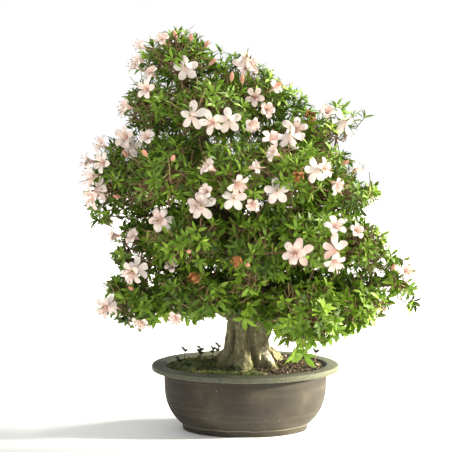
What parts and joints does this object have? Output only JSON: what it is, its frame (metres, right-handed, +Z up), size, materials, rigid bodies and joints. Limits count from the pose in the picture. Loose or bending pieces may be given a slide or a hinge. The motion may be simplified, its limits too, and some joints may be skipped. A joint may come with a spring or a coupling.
{
  "type": "bonsai tree in a pot",
  "caption": "Flowering azalea bonsai with a thick fluted trunk, small green leaves and pale pink flowers, in a low oval stoneware pot with an overhanging lip.",
  "frame": {"origin": "middle of the footprint of the whole tree's bounding box, on the surface the pot's foot stands on; the pot's own middle is 12.5 mm to the -X side", "axes": "+Z up the tree, +X to the viewer's right along the oval pot's length, +Y from the front to the back"},
  "size_m": [0.5149, 0.3551, 0.6322],
  "materials": {
    "stoneware": "unglazed, brushed with dark wash, rough",
    "screen_plastic": "moulded",
    "wire": "brown anodised",
    "grit": "loose pumice",
    "soil": "granular",
    "moss": "soft",
    "bark_chips": "loose chips",
    "bark": "fibrous, fluted",
    "leaf": "slightly glossy",
    "petal": "matte, thin",
    "seedling": "matte"
  },
  "bodies": {
    "root": {"pot": "stoneware", "drain_screen_left": "screen_plastic", "drain_screen_right": "screen_plastic", "screen_clip_left": "wire", "screen_clip_right": "wire", "drainage_grit": "grit", "trunk": "bark", "soil": "soil", "moss_left": "moss", "moss_front": "moss", "moss_back": "moss", "bark_chips_right": "bark_chips", "leaves_apex": "leaf", "leaves_crown_left": "leaf", "leaves_crown_front": "leaf", "leaves_crown_right": "leaf", "leaves_crown_back": "leaf", "leaves_shoulder_right": "leaf", "leaves_left_upper": "leaf", "leaves_left_front": "leaf", "leaves_middle_front": "leaf", "leaves_right_front": "leaf", "leaves_right_upper": "leaf", "leaves_back_right": "leaf", "leaves_back_left": "leaf", "leaves_left_lower": "leaf", "leaves_left_bottom": "leaf", "leaves_lower_front_left": "leaf", "leaves_bottom_front_left": "leaf", "leaves_lower_front_middle": "leaf", "leaves_lower_front_right": "leaf", "leaves_right_middle": "leaf", "leaves_bottom_front_right": "leaf", "leaves_right_bottom": "leaf", "leaves_right_tip": "leaf", "leaves_low_back_right": "leaf", "leaves_low_back_left": "leaf", "flower_top_left": "petal", "flower_top_right": "petal", "flower_crown_front": "petal", "flower_crown_middle": "petal", "flower_crown_right": "petal", "flower_shoulder": "petal", "flower_upper_left": "petal", "flower_middle_right": "petal", "flower_middle": "petal", "flower_middle_left": "petal", "flower_left": "petal", "flower_left_side": "petal", "flower_right_upper": "petal", "flower_right": "petal", "flower_low_middle": "petal", "flower_low_left": "petal", "flower_bottom_left": "petal", "flower_back_top": "petal", "flower_back_left": "petal", "flower_back_right": "petal", "sprout_left": "seedling", "sprout_back": "seedling", "sprout_right": "seedling"}
  },
  "joints": []
}
